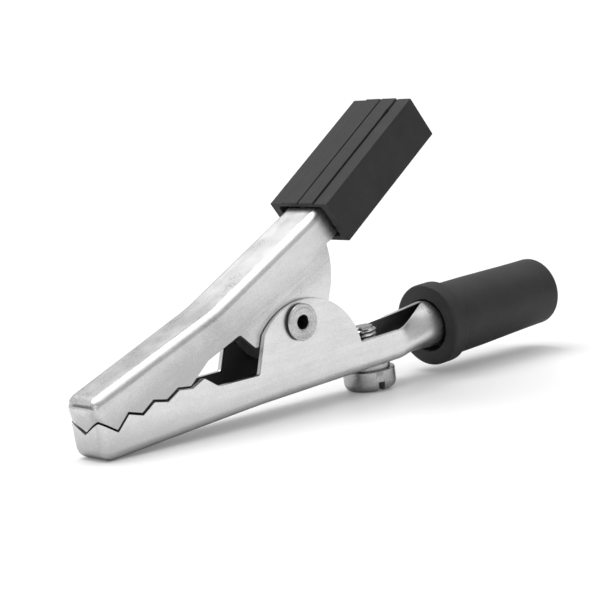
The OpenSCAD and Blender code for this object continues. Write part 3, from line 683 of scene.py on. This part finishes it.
def makeUpperJaw():
    s, both = upper, (upperPlate, hollowPaintedShade)
    lean, riseA = tan(radians(s["lean"])), tan(radians(slopeA))

    def rings(roof, wall, inset, low):
        # roof is the spine's polyline, from the front face to beyond its end
        made = []
        for i, (x, z) in enumerate(roof):
            freeX = upperFrontX(low) + wall if i == 0 else x
            hb, hf = upperHalf(x) - inset, upperHalf(freeX) - inset
            made.append([(x, -hb, z), (x, hb, z), (freeX, hf, low), (freeX, -hf, low)])
        return made

    topZ = (s["tipHigh"] + riseA * teeth["cornerHigh"] * lean) / (1 + riseA * lean)
    far = spineEnd + along(slopeC) * 2
    roof = rounded([(upperFrontX(topZ), topZ), (*spineA, s["spineR"]), (*spineB, s["spineR"]), tuple(far)],
                   5, False)
    outer = channelBlock("upperJawSheet", rings(roof, 0, 0, -5),
                         s["bendR"], s["noseR"], s["cornerR"], both, 0)
    wall = sheet / cos(radians(s["lean"]))
    ceiling = s["tipHigh"] - sheet / cos(radians(slopeA))
    ceilingZ = (ceiling + riseA * (teeth["cornerHigh"] * lean + wall)) / (1 + riseA * lean)
    inA, inB = spineInside(spineA, slopeA, slopeB), spineInside(spineB, slopeB, slopeC)
    inEnd = far + below(slopeC) * sheet + along(slopeC)
    inRoof = rounded([(upperFrontX(ceilingZ) + wall, ceilingZ), (*inA, s["spineR"] + sheet),
                      (*inB, s["spineR"] + sheet), tuple(inEnd)], 5, False)
    inner = channelBlock("hollow", rings(inRoof, wall, sheet, -6),
                         s["bendR"] - sheet, s["noseR"] - sheet + 0.05, s["cornerR"] - sheet, both, 1)
    combine(outer, inner)

    gap = teeth["biteGap"]
    foot = spineB + below(slopeC) * s["handleHigh"]
    endFoot = spineEnd + below(slopeC) * s["handleHigh"]
    meet = sqrt(s["cheekR"] ** 2 - (pivotZ - s["notch"][2][1]) ** 2)
    cheek = [(pivotX - meet, s["notch"][2][1], 0.3)]
    cheek += arc(clip["pivot"], s["cheekR"], *s["cheekTurn"], 60)
    cheek += arc(s["cheekBack"], s["cheekBackR"], *s["cheekBackTurn"], 30)
    corner = teeth["cornerHigh"] + gap
    side = rounded(
        [(-6, corner), (0, corner, 0.08)]
        + toothLine(gap)[:-1]
        + [(*s["notch"][0], 0.3), (*s["notch"][1], 0.5), (*s["notch"][2], 0.2)]
        + cheek
        + [(*s["saddle"], 0.3), (foot.x, foot.y, 0.6), tuple(endFoot), tuple(spineEnd + below(slopeC) * -3),
           (-6, 40)])
    keep = prism("side", side, -9, 9, "Y", both)
    wide, rise = clip["tipHalf"] + 1, corner + s["tabRise"]
    tab = rounded([(0, teeth["frontValley"] + gap, 0.12), (wide, rise), (wide, s["seamZ"]),
                   (-wide, s["seamZ"]), (-wide, rise)])
    combine(keep, prism("tab", tab, -4, s["tabDeep"], "X", both), "UNION")
    combine(outer, keep, "INTERSECT")
    low, high = s["seamZ"], s["seamZ"] + s["seamWide"]
    seamX = upperFrontX(low) + wall
    seam = prism("seam", [(-4, low), (seamX, low), (seamX, high), (-4, high)], -5, 5, "Y", both)
    # the seam's faces take the painted shade of the hollows
    for f in seam.data.polygons:
        f.material_index = 1
    combine(outer, seam)
    for hand in (-1, 1):  # the relief at each end of the seam
        hole = circle((0.1, low + s["seamWide"] / 2), s["reliefR"], 16)
        relief = prism("relief", hole, 1.7, 4, "Y", both)
        relief.data.transform(Matrix.Scale(hand, 4, (0, 1, 0)))
        if hand < 0:
            relief.data.flip_normals()
        combine(outer, relief)
    drill(outer, clip["pivot"], s["rivetHoleR"], 9, "Y", both)
    tidyMesh(outer)
    soften(outer, s["edgeR"])
    place(outer, "upper_jaw", "upper_jaw", "jaw_steel")


makeUpperJaw()
print("upper jaw done")


# pivot rivet: a tubular rivet, its formed head on the near side

rivet = {
    "shankR": 1.5,
    "boreR": 0.8,
    "headR": 2.12,
    "headThick": 0.55,
    "brightRim": 0.2,  # how far down its side the head keeps its plate; below that it takes painted shade
    "rollR": 2.05,
    "rollThick": 0.55,
    "mouthOval": 0.05,
    "mouthLobes": 0.03,
    "turns": 72,
}


def makeRivet():
    s, y = rivet, clip["earHalf"]
    face = -y - s["headThick"]
    bore, head, roll, end = s["boreR"], s["headR"], s["rollR"], y + s["rollThick"]
    # from the bore over the formed head, down the shank and round the rolled end
    profile = rounded([
        (bore, -y), (bore, face + 0.1, 0.1), (bore + 0.16, face + 0.03, 0.1),
        (head - 0.5, face, 0.3), (head - 0.42, face + 0.03), (head - 0.34, face + 0.01),
        (head - 0.02, face + 0.01, 0.1), (head, face + 0.24, 0.1), (head - 0.05, -y - 0.2, 0.05),
        (head - 0.22, -y - 0.14), (head - 0.26, -y), (s["shankR"], -y), (s["shankR"], y),
        (roll - 0.14, y), (roll, y + 0.16, 0.16), (roll - 0.08, end - 0.08, 0.2),
        (roll - 0.5, end, 0.25), (bore + 0.1, end - 0.2, 0.2), (bore, y)], 5)
    where = Matrix.Translation((pivotX, 0, pivotZ)) @ Matrix.Rotation(-pi / 2, 4, "X")
    piece = lathe("pivotRivetTube", profile, s["turns"], where, (fastenerPlate, rivetShade))
    for v in piece.data.vertices:  # the bore's mouth is a little out of round
        r = Vector((v.co.x - pivotX, v.co.z - pivotZ))
        if r.length < 1.2 and v.co.y < -y:
            turn = atan2(r.y, r.x)
            grow = 1 + s["mouthOval"] * sin(2 * turn + 0.6) + s["mouthLobes"] * sin(3 * turn)
            v.co.x, v.co.z = pivotX + r.x * grow, pivotZ + r.y * grow
    for f in piece.data.polygons:  # painted shade on the bore and on the head's side under its rim
        c = f.center
        r = Vector((c.x - pivotX, c.z - pivotZ)).length
        if r < bore + 0.03 or (r > head - 0.3 and face + s["brightRim"] < c.y < 0):
            f.material_index = 1
    place(piece, "lower_jaw", "pivot_rivet", "fastener_steel", 40)


makeRivet()


# torsion spring: one wire, five turns round the rivet and two legs

spring = {
    "wireR": 0.42,
    "coilR": 2.35,
    "turns": 5,
    "halfWide": 1.6,  # from the middle of the coil to its end turns
    "lowSlope": 30.0,
    "highSlope": 49.1,
    "lowRun": 9.8,
    "highRun": 11.5,
    "coilSteps": 160,
    "legSteps": 9,
    "sides": 14,
}


def makeSpring():
    s = spring
    r, half, low, high = s["coilR"], s["halfWide"], radians(s["lowSlope"]), radians(s["highSlope"])
    first = 270 - s["lowSlope"]
    last = first - 360 * (s["turns"] - 1) - (first - (90 + s["highSlope"]))
    start = Vector((-r * sin(low), -half, -r * cos(low)))
    down, up = Vector((cos(low), 0, -sin(low))), Vector((cos(high), 0, sin(high)))
    legs, count = s["legSteps"], s["coilSteps"]
    path = [start + down * s["lowRun"] * k / legs for k in range(legs, 0, -1)]
    for k in range(count + 1):
        t = k / count
        a = radians(first + (last - first) * t)
        path.append(Vector((r * cos(a), half * (2 * t - 1), r * sin(a))))
    coilEnd = path[-1]
    path += [coilEnd + up * s["highRun"] * k / legs for k in range(1, legs + 1)]
    n, sides = len(path), s["sides"]
    verts, faces = [], []
    for i, p in enumerate(path):
        ahead = (path[min(i + 1, n - 1)] - path[max(i - 1, 0)]).normalized()
        across = (Vector((0, 1, 0)) - ahead * ahead.y).normalized()
        other = ahead.cross(across)
        small = 0.82 if i in (0, n - 1) else 1
        for k in range(sides):
            a = 2 * pi * k / sides
            v = p + (across * cos(a) + other * sin(a)) * s["wireR"] * small
            verts.append(v + Vector((pivotX, 0, pivotZ)))
    for i in range(n - 1):
        for k in range(sides):
            m = (k + 1) % sides
            faces.append((i * sides + k, i * sides + m, (i + 1) * sides + m, (i + 1) * sides + k))
    faces += [tuple(range(sides)), tuple(range(n * sides - 1, (n - 1) * sides - 1, -1))]
    piece = newPiece("torsionSpringWire", verts, faces, (springWire,))
    place(piece, None, "torsion_spring", "spring_steel", 50, False)
    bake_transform(piece)


makeSpring()
print("rivet and spring done")


# thumb grip: a moulded sleeve over the upper handle

grip = {
    "long": 18.0,
    "half": 4.8,
    "high": 5.6,
    "start": 0.8,  # past the bend of the spine
    "topThick": 0.75,
    "step": 0.14,
    "strip": 2.6,  # half the width of the raised strip
    "groove": 0.22,
    "edgeR": 0.16,
    "softR": 0.07,
    "play": 0.02,
    "endPlay": 0.3,
    "mouthSide": 0.7,
    "mouthOver": 0.32,
    "mouthDeep": 2.6,
    "nickFrom": 3.3,
    "nickTo": 1.9,
    "nickHigh": 0.3,
}


def makeGrip():
    s = grip
    top, wide, hh = s["topThick"], clip["upperHalf"], upper["handleHigh"]
    mouth = spineB + along(slopeC) * s["start"] - below(slopeC) * top
    where = Matrix.Translation((mouth.x, 0, mouth.y)) @ Matrix.Rotation(-radians(slopeC), 4, "Y")
    g, st, w, h, b = s["groove"] / 2, s["step"], s["half"], s["high"], s["strip"]
    outline = rounded([
        (-w, -h, 0.25), (w, -h, 0.25), (w, 0, s["edgeR"]),
        (b + g, 0, 0.05), (b + g - 0.04, -st), (b - g + 0.04, -st), (b - g, st, 0.06),
        (g, st, 0.06), (g - 0.03, -st), (-g + 0.03, -st), (-g, st, 0.06),
        (-b + g, st, 0.06), (-b + g - 0.04, -st), (-b - g + 0.04, -st), (-b - g, 0, 0.05),
        (-w, 0, s["edgeR"])], 3)
    piece = prism("thumbGripCover", outline, 0, s["long"], "X", (gripPlastic,))

    def sleeve(name, beside, over, sideR, topR, end):  # room round the handle
        low, high = -top - hh - over, -top + over
        shape = rounded([(-wide - beside, low, sideR), (wide + beside, low, sideR),
                         (wide + beside, high, topR), (-wide - beside, high, topR)], 5)
        combine(piece, prism(name, shape, -1, end, "X"))

    sleeve("room", s["play"], s["play"], 0, 0, upper["handleLong"] - s["start"] + s["endPlay"])
    sleeve("mouth", s["mouthSide"], s["mouthOver"], 0.4, 0.5, s["mouthDeep"])
    x0, x1 = s["long"] - s["nickFrom"], s["long"] - s["nickTo"]
    nick = rounded([(x0, -b - 0.16, 0.12), (x1, -b - 0.22, 0.15),
                    (x1, -b + 0.22, 0.15), (x0, -b + 0.12, 0.1)])
    combine(piece, prism("nick", nick, -s["nickHigh"], 1, "Z"))
    tidyMesh(piece, 0.002)
    soften(piece, s["softR"], 40)
    piece.data.transform(where)
    place(piece, "upper_jaw", "thumb_grip", "grip_plastic", 40)


makeGrip()


# boot over the plug socket

boot = {
    "startX": 51.6,
    "long": 20.2,
    "flangeR": 5.0,
    "flangeThick": 2.3,
    "bodyR": 4.46,
    "endR": 4.2,
    "endRound": 1.6,
    "mouthR": 3.2,
    "mouthDeep": 2.0,
    "boreR": 2.3,
    "play": 0.02,
    "turns": 96,
}


def makeBoot():
    s = boot
    body, end, long, thick = s["bodyR"], s["endR"], s["long"], s["flangeThick"]
    barrelR = lower["socketR"] + sheet + s["play"]
    barrelEnd = lower["barrelEndX"] - s["startX"] + 0.2
    # over the flange and the tapering body, then back through the bore
    profile = rounded([
        (s["mouthR"], 0, 0.15), (s["flangeR"], 0, 0.4), (s["flangeR"], thick, 0.35),
        (body + 0.02, thick + 0.02, 0.12), (body + 0.01, thick + 0.5),
        (body - 0.04, long * 0.4), (end + 0.05, long * 0.75), (end, long - 2),
        (end, long, s["endRound"]), (s["boreR"], long, 0.35),
        (s["boreR"], barrelEnd), (barrelR, barrelEnd), (barrelR, s["mouthDeep"], 0.3),
        (s["mouthR"], s["mouthDeep"], 0.3)], 6)
    where = Matrix.Translation((s["startX"], 0, lower["barrelZ"])) @ Matrix.Rotation(pi / 2, 4, "Y")
    piece = lathe("socketBoot", profile, s["turns"], where, (bootVinyl,))
    place(piece, "lower_jaw", "barrel_boot", "boot_rubber", 60)


makeBoot()
print("grip and boot done")


# terminal screw and washer

screw = {
    "shankR": 1.5,
    "pitch": 0.5,
    "threadDeep": 0.22,
    "threadFrom": 0.1,
    "topZ": 4.4,
    "pointLong": 0.45,
    "headTop": -0.7,
    "headThick": 2.45,
    "headR": 3.1,
    "headRound": 0.9,
    "slotWide": 0.8,
    "slotDeep": 1.15,
    "slotTurn": 17.0,
    "rows": 8,  # a turn of the thread
    "turns": 56,
}


def makeScrew():
    s = screw
    top, head, shank, edge = s["topZ"], s["headR"], s["shankR"], s["headRound"]
    low = s["headTop"] - s["headThick"]
    # (radius, height) rows: head, plain neck, thread, point
    rows = [(1e-4, low), (0.9, low)]
    rows += [(head - edge + edge * sin(a), low + edge - edge * cos(a))
             for a in (radians(90 * k / 8) for k in range(9))]
    rows += [(head, s["headTop"] - 0.12), (head - 0.04, s["headTop"] - 0.04), (head - 0.12, s["headTop"]),
             (shank + 0.08, s["headTop"]), (shank, s["headTop"] + 0.06), (shank, 0.0)]
    plain = len(rows)
    z = s["threadFrom"]
    while z < top - 0.12:
        rows.append((shank, z))
        z += s["pitch"] / s["rows"]
    threaded = len(rows)
    rows += [(shank - 0.42, top - 0.02), (shank - 0.6, top), (1e-4, top)]
    verts, faces, n = [], [], s["turns"]
    for j, (r, h) in enumerate(rows):
        for i in range(n):
            a = 2 * pi * i / n
            cut = 0
            if plain <= j < threaded:
                phase = (h / s["pitch"] - i / n) % 1
                fade = min(1, (h - s["threadFrom"]) / 0.3)
                cut = s["threadDeep"] * fade * (1 - abs(2 * phase - 1))
                cut += max(0, h - (top - s["pointLong"])) * 0.9
            verts.append((clip["screwX"] + (r - cut) * cos(a), (r - cut) * sin(a), h))
    for j in range(len(rows) - 1):
        for i in range(n):
            m = (i + 1) % n
            faces.append((j * n + i, j * n + m, (j + 1) * n + m, (j + 1) * n + i))
    both = (screwPlate, hollowPaintedShade)
    piece = newPiece("clampScrew", verts, faces, both)
    tidyMesh(piece, 1e-3)
    half = s["slotWide"] / 2
    across = [(-5, -half), (5, -half), (5, half), (-5, half)]
    slot = prism("slot", across, low - 1, low + s["slotDeep"], "Z", both)
    turn = Matrix.Rotation(radians(90 - s["slotTurn"]), 4, "Z")
    slot.data.transform(Matrix.Translation((clip["screwX"], 0, 0)) @ turn)
    # the slot's faces take the painted shade of the hollows
    for f in slot.data.polygons:
        f.material_index = 1
    combine(piece, slot)
    tidyMesh(piece, 1e-3)
    place(piece, "terminal_screw", "terminal_screw", "fastener_steel", 36)


washer = {
    "innerR": 1.6,
    "outerR": 2.6,
    "thick": 0.7,
    "turns": 72,
}


def makeWasher():
    s = washer
    inner, outer, thick = s["innerR"], s["outerR"], s["thick"]
    profile = rounded([(inner, -thick, 0.06), (outer, -thick, 0.14), (outer, 0, 0.1), (inner, 0, 0.06)], 4)
    where = Matrix.Translation((clip["screwX"], 0, 0))
    piece = lathe("clampWasher", profile, s["turns"], where, (screwPlate,))
    place(piece, "terminal_washer", "terminal_washer", "fastener_steel", 40)


makeScrew()
makeWasher()
print("screw and washer done")


# floor, light and camera

paper = {
    "color": 0.9,
    "lift": 0.12,  # only what the camera sees is lifted to white
    # nearGrey and farGrey are painted shade, seen only in what the plate mirrors of the floor
    "nearGrey": (0.58, 0.02),  # what the plate mirrors of the floor: grey up to 20 mm off,
    "farGrey": (0.7, 0.055, 0.13),  # white beyond that, and greyer again from 55 to 130 mm
}


def makeFloor():
    bpy.ops.mesh.primitive_plane_add(size=80, location=(0, 0, 0))
    floor = bpy.context.object
    floor.name = "studioFloor"
    n = Nodes(bpy.data.materials.new("floor paper"))
    n.shader.inputs["Roughness"].default_value = 0.4
    n.shader.inputs["Specular IOR Level"].default_value = 0.25
    n.shader.inputs["Emission Color"].default_value = (1, 1, 1, 1)
    across = n.maths("ABSOLUTE", n.add("SeparateXYZ", Vector=n.place).outputs["Y"], 0)
    near, reach = paper["nearGrey"]
    far, fromY, toY = paper["farGrey"]
    # painted shade for glossy rays: the floor greyer near the clip and far off
    mirrored = n.maths("MULTIPLY", n.spread(across, near, 1, 0, reach), n.spread(across, 1, far, fromY, toY))
    path = n.add("LightPath")
    shaded = n.maths("MULTIPLY", path.outputs["Is Glossy Ray"], n.maths("SUBTRACT", 1, mirrored))
    n.wire(
        Base_Color=n.tint(shaded, [paper["color"]] * 3, [0, 0, 0]),
        Emission_Strength=n.maths("MULTIPLY", path.outputs["Is Camera Ray"], paper["lift"]),
    )
    floor.data.materials.append(n.owner)


room = {
    "base": 0.46,
    "glows": (  # direction, how wide (from and to, as a cosine), how bright
        ((0.45, 0.75, 0.5), (0.2, 0.95), 0.05),
        ((0.1, -0.1, 1.0), (0.72, 0.97), 1.0),
        ((-0.7, 0.3, 0.45), (0.3, 0.95), 0.2),
    ),
}


def makeWorld():
    # bright above and behind the clip, greyer on its near side, and white to the camera
    scene.world = bpy.data.worlds.new("studio air")
    n = Nodes(scene.world, "Background", "Generated")
    glow = room["base"]
    for aim, (fromDot, toDot), power in room["glows"]:
        facing = n.measured("DOT_PRODUCT", Vector(aim).normalized())
        patch = n.add("MapRange", Value=facing, From_Min=fromDot, From_Max=toDot,
                      To_Min=0.0, To_Max=power, interpolation_type="SMOOTHSTEP")
        glow = n.maths("ADD", patch.outputs["Result"], glow)
    path = n.add("LightPath")
    final = n.tree.nodes.new("ShaderNodeMix")
    final.data_type = "FLOAT"
    seen = n.maths("MAXIMUM", path.outputs["Is Camera Ray"], path.outputs["Is Transmission Ray"])
    n.tree.links.new(seen, final.inputs["Factor"])
    n.tree.links.new(glow, final.inputs["A"])
    final.inputs["B"].default_value = 1.0
    n.wire(Strength=final.outputs["Result"])
    n.shader.inputs["Color"].default_value = (1, 1, 1, 1)


lamp = {
    "aim": (0.12, -0.4, -1.0),
    "strength": 1.35,
    "wide": 42,  # degrees, so its shadows are soft
}


def makeLamp():
    data = bpy.data.lights.new("overhead", "SUN")
    data.energy, data.angle = lamp["strength"], radians(lamp["wide"])
    light = bpy.data.objects.new("overhead", data)
    scene.collection.objects.link(light)
    light.location = (0, 0, 0.5)
    light.rotation_euler = Vector(lamp["aim"]).to_track_quat("-Z", "Y").to_euler()


view = {
    "lens": 120.0,
    "from": (-115.35, -169.97, 50.35),  # in the clip's own frame, as are the two directions
    "right": (0.7331, -0.6674, -0.1310),
    "down": (-0.2165, -0.0464, -0.9752),
}


def makeCamera():
    turn = Matrix.Rotation(-restTilt, 3, "Y")
    right, down = turn @ Vector(view["right"]), turn @ Vector(view["down"])
    right.normalize()
    up = (-down - right * (-down).dot(right)).normalized()
    data = bpy.data.cameras.new("camera")
    data.lens, data.sensor_width = view["lens"], 36
    data.clip_start, data.clip_end = 0.005, 50
    camera = bpy.data.objects.new("camera", data)
    scene.collection.objects.link(camera)
    axes = Matrix((right, up, right.cross(up))).transposed()
    camera.matrix_world = Matrix.Translation(clipToRow @ Vector(view["from"])) @ axes.to_4x4()
    scene.camera = camera


makeFloor()
makeWorld()
makeLamp()
makeCamera()
scene.view_settings.view_transform = "Standard"
print("studio ready")
